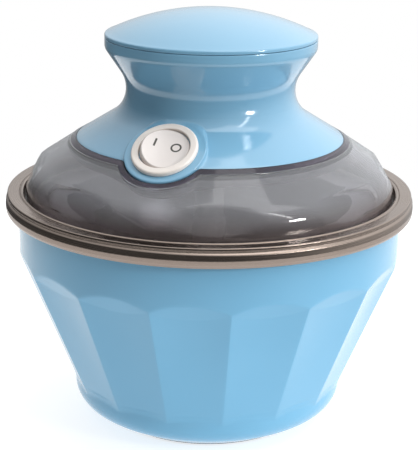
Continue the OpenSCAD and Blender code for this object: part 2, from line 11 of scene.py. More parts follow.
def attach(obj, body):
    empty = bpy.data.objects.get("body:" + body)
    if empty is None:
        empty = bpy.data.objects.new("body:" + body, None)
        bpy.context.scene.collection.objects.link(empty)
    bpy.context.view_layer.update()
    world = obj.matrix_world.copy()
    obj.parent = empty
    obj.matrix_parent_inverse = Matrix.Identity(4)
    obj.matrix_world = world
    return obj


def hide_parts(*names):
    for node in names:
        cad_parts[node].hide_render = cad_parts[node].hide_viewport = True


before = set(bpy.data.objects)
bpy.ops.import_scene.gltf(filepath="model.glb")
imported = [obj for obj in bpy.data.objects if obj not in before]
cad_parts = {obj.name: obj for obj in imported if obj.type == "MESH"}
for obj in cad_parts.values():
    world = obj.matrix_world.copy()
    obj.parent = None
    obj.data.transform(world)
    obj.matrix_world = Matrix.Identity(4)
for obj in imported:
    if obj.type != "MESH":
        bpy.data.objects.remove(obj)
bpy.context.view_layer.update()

# ---- camera ---------------------------------------------------------------------------------
# A long lens a little above the cap and to the right of the switch, with its tripod head
# turned by less than a degree.
camera_azimuth, camera_pitch, camera_roll = 20.5, 17.31, 0.705
camera_reach, camera_height = 0.5797, 0.2659
camera_data = bpy.data.cameras.new("camera")
camera_data.lens = 109.3
camera = bpy.data.objects.new("camera", camera_data)
camera.matrix_world = (
    Matrix.Translation((camera_reach * math.sin(math.radians(camera_azimuth)),
                        -camera_reach * math.cos(math.radians(camera_azimuth)), camera_height))
    @ Matrix.Rotation(math.radians(camera_azimuth), 4, "Z")
    @ Matrix.Rotation(math.radians(90 - camera_pitch), 4, "X")
    @ Matrix.Rotation(math.radians(camera_roll), 4, "Z"))
bpy.context.collection.objects.link(camera)
bpy.context.scene.camera = camera
bpy.context.scene.view_settings.view_transform = "Standard"


# ---- floor and studio light -----------------------------------------------------------------
# A round pale table and a room with its window behind at the right. A small soft box at the right
# draws the bright spots, a tall one above it the lines down the gloss, a broad one hangs overhead.
def soft_box(name, azimuth, height, reach, wide, tall, power, aim=0.1):
    """An area light on a stand, turned to face the middle of the object."""
    light = bpy.data.lights.new(name, "AREA")
    light.shape, light.size, light.size_y, light.energy = "RECTANGLE", wide, tall, power
    lamp = bpy.data.objects.new(name, light)
    turn = math.radians(azimuth)
    lamp.location = (reach * math.sin(turn), -reach * math.cos(turn), height)
    lamp.rotation_euler = (math.atan2(reach, height - aim), 0, turn)
    bpy.context.collection.objects.link(lamp)


soft_box("key_light", azimuth=74, height=0.44, reach=1.1, wide=0.2, tall=0.14, power=4.4)
soft_box("strip_light", azimuth=73, height=1.0, reach=1.0, wide=0.07, tall=0.8, power=1.5)
soft_box("top_light", azimuth=80, height=1.5, reach=0.4, wide=0.9, tall=0.9, power=4)

world = bpy.data.worlds.new("room")
world.use_nodes = True
room = world.node_tree
room_light = room.nodes["Background"]
room_light.inputs["Color"].default_value = (0.95, 0.98, 1.0, 1)
facing = room.nodes.new("ShaderNodeTexCoord")
window = room.nodes.new("ShaderNodeVectorMath")
window.operation = "DOT_PRODUCT"
window.inputs[1].default_value = (0.30, 0.50, 0.81)
glow = room.nodes.new("ShaderNodeMapRange")
for name, value in (("From Min", -0.1), ("From Max", 1.0), ("To Min", 0.1), ("To Max", 1.6)):
    glow.inputs[name].default_value = value
room.links.new(facing.outputs["Generated"], window.inputs[0])
room.links.new(window.outputs["Value"], glow.inputs["Value"])
room.links.new(glow.outputs["Result"], room_light.inputs["Strength"])
backdrop = room.nodes.new("ShaderNodeBackground")
backdrop.inputs["Color"].default_value = (1, 1, 1, 1)
seen = room.nodes.new("ShaderNodeLightPath")
blend = room.nodes.new("ShaderNodeMixShader")
room.links.new(seen.outputs["Is Camera Ray"], blend.inputs[0])
room.links.new(room_light.outputs[0], blend.inputs[1])
room.links.new(backdrop.outputs[0], blend.inputs[2])
room.links.new(blend.outputs[0], room.nodes["World Output"].inputs[0])
bpy.context.scene.world = world

floor_mesh = bpy.data.meshes.new("floor")
table_r, table_sides = 0.36, 96
floor_mesh.from_pydata([(table_r * math.cos(2 * math.pi * k / table_sides),
                         table_r * math.sin(2 * math.pi * k / table_sides), 0)
                        for k in range(table_sides)], [], [range(table_sides)])
floor = bpy.data.objects.new("floor", floor_mesh)
bpy.context.collection.objects.link(floor)


# ---- outer shell ----------------------------------------------------------------------------
# The canister's blue shell, one glossy injection moulding. Sixteen shallow flutes, cut deepest
# just under the round band, run down to a round base with a soft bevel.
def outline(corners, rounds=6, step=4.0, closed=False):
    """Points along a chain of (radius, height) corners. A corner with a third number is rounded
    with an arc of that radius, and straight runs are divided into pieces of at most step."""
    points = []
    last = len(corners) - 1
    for i, corner in enumerate(corners):
        here = np.array(corner[:2], float)
        if len(corner) < 3 or (not closed and i in (0, last)):
            points.append(here)
            continue
        back = np.array(corners[i - 1][:2], float) - here
        ahead = np.array(corners[(i + 1) % len(corners)][:2], float) - here
        back, ahead = back / np.linalg.norm(back), ahead / np.linalg.norm(ahead)
        half = math.acos(float(np.clip(back @ ahead, -1, 1))) / 2
        centre = here + (back + ahead) / np.linalg.norm(back + ahead) * corner[2] / math.sin(half)
        start = here + back * corner[2] / math.tan(half) - centre
        stop = here + ahead * corner[2] / math.tan(half) - centre
        turn = math.atan2(start[0] * stop[1] - start[1] * stop[0], float(start @ stop))
        for t in np.linspace(0, turn, rounds + 1):
            points.append(centre + np.array([start[0] * math.cos(t) - start[1] * math.sin(t),
                                             start[0] * math.sin(t) + start[1] * math.cos(t)]))
    path = []
    for a, b in zip(points, points[1:] + points[:1] if closed else points[1:]):
        pieces = max(1, math.ceil(np.linalg.norm(b - a) / step))
        path += [a + (b - a) * k / pieces for k in range(pieces)]
    return np.array(path if closed else path + [points[-1]])


def skin(name, grid, loop=False, bore=None):
    """A mesh over rows and columns of points. Each cell between four neighbours is a face;
    columns run round to the first again, and so do rows where loop is True. A row that is one
    place, such as a pole, is one vertex. Cells that bore marks are left out, and the cut through
    the wall is closed with faces. Each normal is the sum of its faces' normals times their
    areas, so a flat stays flat beside a small round."""
    rows, columns = grid.shape[:2]
    index = np.arange(rows * columns).reshape(rows, columns)
    pole = np.ptp(grid, axis=1).max(axis=1) < 1e-6
    index[pole] = index[pole][:, :1]
    low = index if loop else index[:-1]
    high = np.roll(index, -1, 0) if loop else index[1:]
    cells = np.stack([low, np.roll(low, -1, 1), np.roll(high, -1, 1), high], -1)
    if bore is not None:
        cells = np.concatenate([cells[~bore.cells], bore.wall(index)])
    cells = cells.reshape(-1, 4)
    corner = grid.reshape(-1, 3) / 1000
    across = corner[cells[:, 2]] - corner[cells[:, 0]]
    along = corner[cells[:, 3]] - corner[cells[:, 1]]
    facing = np.cross(across, along)
    normals = np.zeros_like(corner)
    for k in range(4):
        np.add.at(normals, cells[:, k], facing)
    normals /= np.maximum(np.linalg.norm(normals, axis=1, keepdims=True), 1e-20)
    used, renumbered = np.unique(cells, return_inverse=True)
    cells = renumbered.reshape(-1, 4)
    flat_low, flat_high = cells[:, 0] == cells[:, 1], cells[:, 2] == cells[:, 3]
    faces = (cells[~flat_low & ~flat_high].tolist() + cells[flat_low & ~flat_high][:, 1:].tolist()
             + cells[flat_high & ~flat_low][:, :3].tolist())
    mesh = bpy.data.meshes.new(name)
    mesh.from_pydata(corner[used].tolist(), [], faces)
    mesh.shade_smooth()
    mesh.normals_split_custom_set_from_vertices(normals[used].tolist())
    piece = bpy.data.objects.new(name, mesh)
    bpy.context.collection.objects.link(piece)
    return piece


def turned(name, points, columns=256, loop=False):
    """A surface of revolution: each (radius, height) point carried once round the axis."""
    angle = np.linspace(0, 2 * math.pi, columns, endpoint=False)
    radius, height = points[:, :1], points[:, 1:]
    return skin(name, np.stack([radius * np.cos(angle), radius * np.sin(angle),
                                height + 0 * angle], -1), loop)


def soft_max(a, b, reach):
    """The larger of a and b, rounded over where they are within reach of each other."""
    return np.maximum(a, b) + np.maximum(reach - np.abs(a - b), 0) ** 2 / (4 * reach)


def soft_min(a, b, reach):
    """The smaller of a and b, rounded over in the same way."""
    return -soft_max(-a, -b, reach)


class Field:
    """A value that changes over a surface. Arithmetic with fields and numbers adds Math nodes."""

    def __init__(self, finish, socket):
        self.finish, self.socket = finish, socket

    def maths(self, operation, *values):
        return self.finish.node("Math", {"operation": operation}, dict(enumerate(values)))

    def __add__(self, other):
        return self.maths("ADD", self, other)

    def __sub__(self, other):
        return self.maths("SUBTRACT", self, other)

    def __mul__(self, other):
        return self.maths("MULTIPLY", self, other)

    def __truediv__(self, other):
        return self.maths("DIVIDE", self, other)

    def __pow__(self, other):
        return self.maths("POWER", self, other)

    def __abs__(self):
        return self.maths("ABSOLUTE", self)

    __radd__, __rmul__ = __add__, __mul__


class Finish:
    """One material: its nodes, and its shader with constants set on the sockets."""

    def __init__(self, name, **constants):
        self.material = bpy.data.materials.new(name)
        self.material.use_nodes = True
        self.nodes, self.links = self.material.node_tree.nodes, self.material.node_tree.links
        self.shader = self.nodes["Principled BSDF"]
        self.feed({key.replace("_", " "): value for key, value in constants.items()})

    def feed(self, values, node=None):
        """Links fields to a node's sockets, the shader's by default, and sets plain values."""
        node = node or self.shader
        for key, value in values.items():
            if isinstance(value, Field):
                self.links.new(value.socket, node.inputs[key])
            else:
                node.inputs[key].default_value = value

    def node(self, kind, settings, values, out=0):
        """Any node: its type, its settings, then the values or links of its sockets."""
        node = self.nodes.new("ShaderNode" + kind)
        for key, value in settings.items():
            setattr(node, key, value)
        self.feed(values, node)
        return Field(self, node.outputs[out])

    def place(self, stretch=(1, 1, 1)):
        """The point on the piece in millimetres, each axis times its stretch."""
        spot = self.node("TexCoord", {}, {}, "Object")
        return self.node("VectorMath", {"operation": "MULTIPLY"},
                         {0: spot, 1: tuple(1000 * s for s in stretch)})

    def axes(self, vector):
        """A vector's three parts."""
        node = self.node("SeparateXYZ", {}, {0: vector}).socket.node
        return [Field(self, output) for output in node.outputs]

    def noise(self, size, detail=2.0, vector=None):
        """Soft noise from 0 to 1 with features of that size in millimetres."""
        return self.node("TexNoise", {}, {"Vector": vector or self.place(), "Scale": 1 / size,
                                          "Detail": detail}, "Fac")

    def mix(self, factor, a, b):
        """Colour a where factor is 0 and colour b where it is 1."""
        return self.node("Mix", {"data_type": "RGBA"}, {0: factor, 6: a, 7: b}, 2)

    def bump(self, height, depth):
        """Raises the surface by height times depth, in millimetres."""
        self.feed({"Normal": self.node("Bump", {}, {"Height": height, "Distance": depth / 1000,
                                                     "Strength": 1.0})})


def tone(red, green, blue):
    """A display colour, 0 to 255 a channel, as linear light."""
    level = np.array([red, green, blue]) / 255
    linear = np.where(level <= 0.04045, level / 12.92, ((level + 0.055) / 1.055) ** 2.4)
    return (*linear.tolist(), 1.0)


def plastic(name, colour, other, roughness, grain=0.0, mottle=40.0, **constants):
    """Moulded plastic: two near tones in broad clouds, gloss that wanders a little, and a faint
    orange peel, with a fine spark-eroded grain of that depth where the mould had one."""
    peel_depth = 0.004
    finish = Finish(name, **constants)
    cloud = finish.noise(mottle)
    finish.feed({"Base Color": finish.mix(cloud, colour, other),
                 "Roughness": roughness + 0.05 * finish.noise(9.0) + 0.03 * cloud})
    peel = finish.noise(2.6, 1.0)
    spark = finish.noise(0.35) * grain / peel_depth if grain else 0
    finish.bump(peel + spark, peel_depth)
    return finish.material


def fit(piece, finish, body, slot, *nodes):
    """Gives a piece its material and its body, and hides the CAD nodes that it stands for. The slot
    is not used.
    """
    piece.data.materials.append(finish)
    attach(piece, body)
    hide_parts(*nodes)
    return piece


def dress(finish, *nodes):
    """Gives CAD nodes a material in place of their plain one."""
    for node in nodes:
        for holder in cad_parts[node].material_slots:
            holder.material = finish


facets = 16
half_facet = math.pi / facets
first_ridge = math.radians(270 + 4.4)
band_r, base_r, shell_top = 83.6, 60.0, 96.6
ridge_top, ridge_slope = 73.8, 0.4075
ridge_round, ridge_wear = 0.6, 0.08
flute_depth, flute_end, flute_fade = 1.0, 22, 40
lens_rise, lens_fall = 4.0, 3.2
base_side_z, base_top, base_blend = 15, 19.5, 6
facet_columns = 20


def flute(angle, height):
    """The radius of the fluted wall: a flat between two ridges, hollowed by a parabola across
    its width. The hollow ends in a lens between two arcs that meet at the ridge tops."""
    across = np.mod(angle - first_ridge, 2 * half_facet) - half_facet
    share = np.abs(across) / half_facet
    ridge = band_r + ridge_slope * (height - ridge_top)
    arch = 1 - share ** 2
    lens_length = (lens_rise + lens_fall) * arch + 0.05
    lens = np.clip((ridge_top + lens_rise * arch - height) / lens_length, 0, 1)
    low_fade = np.clip((height - flute_end) / flute_fade, 0, 1)
    edge = np.maximum(1 - (1 - share) * half_facet * ridge / ridge_round, 0) ** 2
    return (ridge * math.cos(half_facet) / np.cos(across)
            - flute_depth * arch * lens * low_fade - ridge_wear * edge)


def shell_wall(angle, height):
    """The outer radius: the smaller of band and flutes, or the round base where that is larger."""
    upper = soft_min(band_r + 0 * angle, flute(angle, height), 0.35)
    base = base_r - np.maximum(height - base_top, 0)
    blend_reach = 0.1 + 2.0 * np.clip((height - base_side_z) / base_blend, 0, 1)
    return soft_max(upper, base + 0 * angle, blend_reach)


low_part = outline([(0, 1), (38.9, 1), (38.9, 2.3, 0.3), (45.1, 2.3, 0.3), (45.1, 1, 0.3),
                    (46, 1, 0.6), (base_r, 9, 10), (base_r, base_side_z)], rounds=8)
heights = np.concatenate([np.arange(15.4, 25, 0.5), np.arange(25, 67, 2.0),
                          np.arange(67, 80.5, 0.4), np.arange(80.5, 96, 1.5), [96.1, 96.4]])
inside = outline([(band_r - 0.2, shell_top), (81.2, shell_top, 0.3), (81.2, 78.5),
                  (79.4, ridge_top), (57.4, 18.5), (57.4, 11, 8), (44, 3.6), (0, 3.6)])
in_facet = np.sin(np.linspace(-1, 1, facet_columns + 1)[:-1] * math.pi / 2)
facet_middles = np.repeat(np.arange(facets) * 2 + 1, facet_columns)
turns = first_ridge + (facet_middles + np.tile(in_facet, facets)) * half_facet
radii = np.concatenate([np.repeat(low_part[:, :1], len(turns), 1),
                        shell_wall(turns[None], heights[:, None]),
                        np.repeat(inside[:, :1], len(turns), 1)])
levels = np.concatenate([low_part[:, 1], heights, inside[:, 1]])[:, None]
shell_grid = np.stack([radii * np.cos(turns), radii * np.sin(turns), levels + 0 * radii], -1)
shell = skin("shell", shell_grid)
blue_plastic = plastic("glossy_blue", tone(104, 170, 206), tone(113, 178, 213), 0.16,
                       Coat_Weight=0.3, Coat_Roughness=0.06)
fit(shell, blue_plastic, "canister", "canister_blue", "outer_shell")

# ---- inner bowl, gel and their trim ---------------------------------------------------------
# The bowl is spun aluminium with fine turning marks, the coolant behind it a milky gel. A
# silicone gasket lies on the flange, a rubber foot under the shell and a plug in its fill hole.
bowl = Finish("spun_aluminium", Metallic=1.0)
bowl_x, bowl_y, bowl_z = bowl.axes(bowl.place())
bowl_r = (bowl_x * bowl_x + bowl_y * bowl_y) ** 0.5
turning = bowl.noise(0.5, 1.0, bowl.node("CombineXYZ", {}, {0: bowl_r, 1: bowl_z}))
bowl.feed({"Base Color": bowl.mix(turning, tone(176, 178, 182), tone(205, 206, 208)),
           "Roughness": 0.28 + 0.14 * turning})
bowl.bump(turning, 0.01)
dress(bowl.material, "inner_bowl")
dress(plastic("milky_gel", tone(196, 216, 228), tone(214, 228, 236), 0.35, mottle=12),
      "coolant_gel")
dress(plastic("silicone", tone(206, 205, 200), tone(218, 217, 212), 0.5), "rim_gasket")
dress(plastic("fill_plug_plastic", tone(190, 208, 222), tone(198, 214, 226), 0.35), "fill_plug")
dress(plastic("foot_rubber", tone(52, 52, 54), tone(62, 62, 64), 0.62, grain=0.02), "foot_ring")

# ---- steel rim ------------------------------------------------------------------------------
# A pressed steel ring over the canister's edge: a bulged outer band, a rolled lip, a level top
# with a raised bead, and an inner drop. It is brushed round its circumference.
rim_section = outline([
    (86.5, 95.0, 0.2), (88.0, 95.0, 0.3), (88.9, 96.2, 1.5), (89.0, 98.4, 3), (88.7, 100.6, 1.0),
    (87.9, 101.3, 0.2), (87.9, 101.9, 0.2), (88.2, 102.2, 0.25), (88.1, 103.2, 0.5),
    (83.2, 103.2, 0.2), (82.9, 102.8, 0.15), (82.6, 103.2, 0.2), (82.0, 103.5, 0.4),
    (81.3, 103.2, 0.4), (81.0, 102.6, 0.3), (81.0, 98.1, 0.1), (82.2, 98.1, 0.1),
    (82.2, 101.9, 0.3), (86.5, 101.9, 0.3)], rounds=5, step=1.0, closed=True)
rim = turned("rim", rim_section, columns=360, loop=True)
steel = Finish("brushed_steel", Metallic=1.0, Anisotropic=0.7)
steel_x, steel_y, steel_z = steel.axes(steel.place())
steel_r = (steel_x * steel_x + steel_y * steel_y) ** 0.5
brush = steel.noise(0.22, 2.0, steel.node("CombineXYZ", {}, {
    0: steel_r + 0.004 * steel_x, 1: steel_z, 2: 0.01 * steel_y}))
stain = steel.noise(14.0)
steel.feed({"Base Color": steel.mix(brush, tone(130, 117, 108), tone(166, 151, 141)),
            "Roughness": 0.2 + 0.08 * brush + 0.05 * stain})
steel.bump(brush, 0.002)
fit(rim, steel.material, "canister", "rim_steel", "rim_ring")

# ---- lid ------------------------------------------------------------------------------------
# One clear smoky moulding of even wall: a skirt in the rim, a shoulder with finger flats, a
# cone up to a thin lip with a fine bead outside it, and a well with a pocket for the boss.
wall = 2.4
switch_r, switch_z, switch_tilt = 51.4, 131.0, math.radians(34)
switch_cos, switch_sin = math.cos(switch_tilt), math.sin(switch_tilt)
well_r, well_z, hole_r = 58.0, 121.0, 7.0
pocket_r, pocket_depth = 17.4, 5.4
wall_round, floor_round = 1.2, 0.6
floor_steps, wall_steps, round_rows = 16, 10, 6
bead_near, bead_middle, bead_far, bead_height = 2.5, 2.85, 3.2, 0.3
lip_r, lip_z, cone_slope = 58.5, 126.2, 1.5125
lid_r, lid_foot = 80.0, 99.3
cone_drop = wall * math.hypot(cone_slope, 1) / cone_slope
shoulder_z = lip_z - (lid_r - lip_r) / cone_slope


def tube_reach(angle, height, radius):
    """How far out a level ray from the axis leaves a tube of that radius round the switch's
    tilted line, and how far out it enters: the roots of a quadratic in the ray's length. A ray
    that misses the tube gives 0 and a large number."""
    side, front = np.sin(angle), np.cos(angle)
    middle = switch_r + (height - switch_z) * switch_sin / switch_cos
    a = side ** 2 + (switch_cos * front) ** 2
    b = -2 * switch_cos ** 2 * middle * front
    c = (switch_cos * middle) ** 2 - radius ** 2
    under_root = b * b - 4 * a * c
    root = np.sqrt(np.maximum(under_root, 0))
    meets = (under_root > 0) & (front > 0)
    return np.where(meets, (root - b) / (2 * a), 0), np.where(meets, (-b - root) / (2 * a), 1e3)


def plane_height(angle, radius, depth):
    """The height, at a place in plan, of the plane that lies depth behind the switch's face."""
    return switch_z + (switch_sin * (switch_r - radius * np.cos(angle)) - depth) / switch_cos


def tube_foot(angle, radius, depth):
    """How far out the tube's wall meets the plane at that depth: an ellipse seen from the axis."""
    side, front = np.sin(angle), np.cos(angle)
    middle = switch_r - switch_sin * depth
    a = side ** 2 + (front / switch_cos) ** 2
    b = -2 * middle * front / switch_cos ** 2
    c = (middle / switch_cos) ** 2 - radius ** 2
    under_root = b * b - 4 * a * c
    root = np.sqrt(np.maximum(under_root, 0))
    return np.where((under_root > 0) & (front > 0), (root - b) / (2 * a), 0)


def well_side(angle, height, grow):
    """The well's wall at a height: round, or the pocket's tube where that reaches further."""
    pocket = tube_reach(angle, height, pocket_r + grow)[0]
    return soft_max(well_r + grow + 0 * angle, pocket, wall_round)


def well_rows(angle, grow, slope_r, slope_z):
    """The well's wall in rows from its foot up to the cone, whose radius falls from slope_r at
    slope_z. The upper end is found by halving the interval until both radii agree."""
    depth = pocket_depth + grow
    pocket = tube_foot(angle, pocket_r + grow, depth)
    foot_r = soft_max(well_r + grow + 0 * angle, pocket, wall_round)
    foot_z = soft_min(well_z - grow + 0 * angle, plane_height(angle, foot_r, depth), floor_round)
    low, high = foot_z.copy(), np.full_like(angle, lip_z + 1.0)
    for _ in range(40):
        middle = (low + high) / 2
        outside = well_side(angle, middle, grow) > slope_r + cone_slope * (slope_z - middle)
        low, high = np.where(outside, low, middle), np.where(outside, middle, high)
    rise = np.linspace(0, 1, wall_steps + 1)[:, None]
    level = foot_z + (low - foot_z) * rise
    reach = well_side(angle, level, grow)
    reach = reach + (foot_r - reach[0]) * (1 - rise)
    return reach, level


def chain(corners):
    """Rows of a closed outline that changes from column to column. A corner is its radius, its
    height, how far back its round starts and the number of steps to the next corner. A round is
    the parabola between its two cut points with the corner as its control point."""
    places = [np.stack(np.broadcast_arrays(r, z), -1) for r, z, _, _ in corners]
    rows = []
    for i, (_, _, cut, steps) in enumerate(corners):
        here, after = places[i], places[(i + 1) % len(corners)]
        back, ahead = places[i - 1] - here, after - here
        room = np.linalg.norm(ahead, axis=1, keepdims=True)
        end = here + ahead / room * cut
        if cut:
            start = here + back / np.linalg.norm(back, axis=1, keepdims=True) * cut
            rows += [(1 - s) ** 2 * start + 2 * s * (1 - s) * here + s * s * end
                     for s in np.linspace(0, 1, round_rows)]
        else:
            rows.append(here)
        next_cut = corners[(i + 1) % len(corners)][2]
        finish = after - ahead / room * next_cut
        rows += [end + (finish - end) * s for s in np.arange(1, steps) / steps]
    return np.array(rows)


lid_columns = 480
from_front = np.linspace(-math.pi, math.pi, lid_columns, endpoint=False)
inner_r, inner_z = well_rows(from_front, 0.0, lip_r, lip_z)
outer_r, outer_z = well_rows(from_front, wall, lip_r, lip_z - cone_drop)
one = np.ones(lid_columns)


def floor_rows(reach, grow):
    """Corners along the well's floor, from the hole's edge out to the wall's foot."""
    rows = []
    for share in np.linspace(0, 1, floor_steps + 1)[:-1]:
        r = hole_r + (reach - hole_r) * share
        pocket = plane_height(from_front, r, pocket_depth + grow)
        rows.append((r * one, soft_min((well_z - grow) * one, pocket, floor_round), 0, 1))
    return rows


def on_cone(out, above=0.0):
    """The place that far outside the well's edge, down the cone, and that far above it."""
    return inner_r[-1] + out, inner_z[-1] - out / cone_slope + above


shoulder_in = lip_z - cone_drop - (lid_r - wall - lip_r) / cone_slope
lid_corners = (
    floor_rows(outer_r[0], wall)
    + [(outer_r[k], outer_z[k], 0.5 if k == 0 else 0, 1) for k in range(wall_steps)]
    + [(outer_r[-1], outer_z[-1], 0.7, 8),
       ((lid_r - wall) * one, shoulder_in * one, 5.0, 16),
       ((lid_r - wall) * one, lid_foot * one, 0.3, 3),
       (lid_r * one, lid_foot * one, 0.3, 18),
       (lid_r * one, shoulder_z * one, 5.9, 24),
       (*on_cone(bead_far), 0.05, 1),
       (*on_cone(bead_middle, bead_height), 0.25, 1),
       (*on_cone(bead_near), 0.05, 2),
       (*on_cone(0.45), 0.25, 1)]
    + [(inner_r[k], inner_z[k], {wall_steps: 0.12, 0: 0.5}.get(k, 0), 1)
       for k in range(wall_steps, -1, -1)]
    + floor_rows(inner_r[0], 0.0)[::-1])
lid_rows = chain(lid_corners)
lid_turn = from_front - math.pi / 2
lid_grid = np.stack([lid_rows[..., 0] * np.cos(lid_turn), lid_rows[..., 0] * np.sin(lid_turn),
                     lid_rows[..., 1]], -1)

flat_count, flat_lean, flat_centre = 8, math.radians(30), (69.0, 106.08)
flat_reach, flat_round, flats_from_r = 9.0, 0.25, 62


def press_flats(points, reach):
    """Moves points that stand out past each finger flat's plane back onto it, softly."""
    for k in range(flat_count):
        turn = math.radians((k + 0.5) * 360 / flat_count)
        facing = np.array([math.cos(turn) * math.cos(flat_lean),
                           math.sin(turn) * math.cos(flat_lean), math.sin(flat_lean)])
        level = flat_centre[0] * math.cos(flat_lean) + flat_centre[1] * math.sin(flat_lean) + reach
        past = points @ facing - level
        points = points - soft_max(past, 0 * past, flat_round)[..., None] * facing
    return points


row_r, row_z = lid_rows[:, 0, 0], lid_rows[:, 0, 1]
middle_row = int(np.argmin(np.abs(row_z - lid_foot) + np.abs(row_r - (lid_r - wall / 2))))
row_number = np.arange(len(lid_grid))
first_wall = floor_steps + round_rows + wall_steps - 1
outer_rows = (row_number > middle_row) & (row_r > flats_from_r)
inner_rows = (row_number >= first_wall) & (row_number <= middle_row) & (row_r > flats_from_r)
lid_grid[outer_rows] = press_flats(lid_grid[outer_rows], flat_reach)
lid_grid[inner_rows] = press_flats(lid_grid[inner_rows], flat_reach - wall)
lid = skin("lid", lid_grid, loop=True)

smoke = Finish("smoky_clear_plastic", Transmission_Weight=0.84, IOR=1.46, Alpha=0.94)
drift, (lid_x, lid_y, lid_height) = smoke.noise(30.0), smoke.axes(smoke.place())


def rising(value, low, high):
    """0 under low and 1 over high, smooth between."""
    return value.finish.node("MapRange", {"interpolation_type": "SMOOTHSTEP"},
                             {"Value": value, "From Min": low, "From Max": high})


# How far a point lies outside the well and its pocket. On the lip above 112 mm the colour is
# painted light: a dark navy line of painted shadow at the inner edge, a purple band of painted
# shade beside it, and a white line of painted highlight along the bead.
up_tilt = (lid_y + switch_r) * switch_cos + (lid_height - switch_z) * switch_sin
off_well = (lid_x * lid_x + lid_y * lid_y) ** 0.5 - well_r
off_pocket = (lid_x * lid_x + up_tilt * up_tilt) ** 0.5 - pocket_r
off_edge = off_well.maths("MINIMUM", off_well, off_pocket)
# Where the lip's painted shade, shadow and highlight go: outside the well's edge, above about 113
# mm.
painted_lip_mask = rising(off_edge, -0.7, -0.2) * rising(lid_height, 112, 114)
clear = smoke.mix(drift, tone(212, 211, 216), tone(220, 219, 222))
# Painted shade: the lid turns darker and warmer below 103 mm, blending into its clear tint by 115
# mm.
painted_low_shade = smoke.mix(rising(lid_height, 103, 115), tone(170, 156, 154), clear)
# Painted highlight: a white line along the bead, from about 2.6 to 3.05 mm outside the well's edge.
painted_bead_highlight = smoke.mix(rising(off_edge, 3.05, 3.2), (1, 1, 1, 1), painted_low_shade)
# Painted shade: a dark purple band from about 0.6 to 2.5 mm outside the well's edge.
painted_band_shade = smoke.mix(rising(off_edge, 2.45, 2.6), tone(104, 88, 116), painted_bead_highlight)
# Painted shadow: a dark navy line at the well's edge, in the gap under the casing's foot.
painted_gap_shadow = smoke.mix(rising(off_edge, 0.35, 0.6), tone(28, 38, 72), painted_band_shade)
smoke.feed({"Base Color": smoke.mix(painted_lip_mask, painted_low_shade, painted_gap_shadow),
            "Roughness": 0.03 + 0.04 * smoke.noise(11.0)})
smoke.bump(smoke.noise(24.0, 0.0), 0.02)
fit(lid, smoke.material, "lid", "smoky_plastic", "lid")
dress(plastic("bush_nylon", tone(214, 213, 208), tone(224, 223, 219), 0.4), "lid_bush")

# ---- motor housing --------------------------------------------------------------------------
# The hourglass casing, one glossy blue moulding: a shallow cone from the foot to the waist, a
# flare up to the head, and a round boss for the switch that swells out over the foot's edge.
housing_foot_r, housing_foot_z, housing_top = 57.9, 125.9, 169.3
boss_r, boss_depth, boss_round, boss_fall = 17.0, 2.3, 2.2, 1.5
foot_fall, sink_height, least_wall = 3, 19, 1.2
gland_z, gland_hole_r = 147.5, 5.0
waist = outline([(housing_foot_r, 100), (housing_foot_r, 126.5, 0.4), (30.9, 143.4, 13.7),
                 (45.5, 165.1, 4), (45.5, 200)], rounds=16, step=0.5)
hollow = outline([(55.5, 100), (55.5, 125.2), (27.48, 142.68, 16.1), (43.1, 165.8, 1.6),
                  (43.1, 200)], rounds=16, step=0.5)


def boss_reach(angle, height, radius, depth):
    """How far out the boss reaches at a height: to its face or its side, whichever is nearer.
    Above its upper edge it falls away behind the cone."""
    leaves, enters = tube_reach(angle, height, radius)
    face = (switch_r - switch_sin * depth
            - (height - switch_z + switch_cos * depth) * switch_cos / switch_sin) / np.cos(angle)
    reach = np.minimum(leaves, face)
    return np.where(leaves > 0, reach - boss_fall * np.maximum(enters - face, 0), 0)


def casing(angle, height, path, radius, depth):
    """The casing's radius: the turned path, which falls inwards below the foot, or the boss."""
    plain = np.interp(height, path[:, 1], path[:, 0])
    plain = plain - foot_fall * np.maximum(housing_foot_z - height, 0)
    return soft_max(plain, boss_reach(angle, height, radius, depth), boss_round)


housing_columns = 540
spread = np.linspace(-1, 1, housing_columns, endpoint=False)
angle = math.pi * (0.35 * spread + 0.65 * spread ** 3)
boss_foot = tube_foot(angle, boss_r, boss_depth)
boss_low = np.where(boss_foot > 0, plane_height(angle, boss_foot, boss_depth), 200)
edge_z = soft_min(housing_foot_z + 0 * angle, boss_low, 1.6)
steps = np.concatenate([[0, 0.12, 0.3], np.arange(0.6, 16, 0.45), np.arange(16, 36, 0.9),
                        np.arange(36, 43.1, 0.6), [43.2, 43.4]])
sink = (housing_foot_z - edge_z) * np.clip(1 - steps[:, None] / sink_height, 0, 1) ** 2
outer_level = np.minimum(housing_foot_z + steps[:, None] - sink, housing_top)
outer_reach = casing(angle, outer_level, waist, boss_r, 0.0)
inner_reach = casing(angle, outer_level, hollow, boss_r - wall, boss_depth)
inner_reach = np.minimum(inner_reach, outer_reach - least_wall)
outer_reach[0] -= 0.3
outer_reach[-1] -= 0.2
inner_level, inner_reach = outer_level[::-1].copy(), inner_reach[::-1]
housing_turn = angle - math.pi / 2
housing_r = np.concatenate([outer_reach, inner_reach])
housing_z = np.concatenate([outer_level, inner_level])
housing_grid = np.stack([housing_r * np.cos(housing_turn), housing_r * np.sin(housing_turn),
                         housing_z], -1)


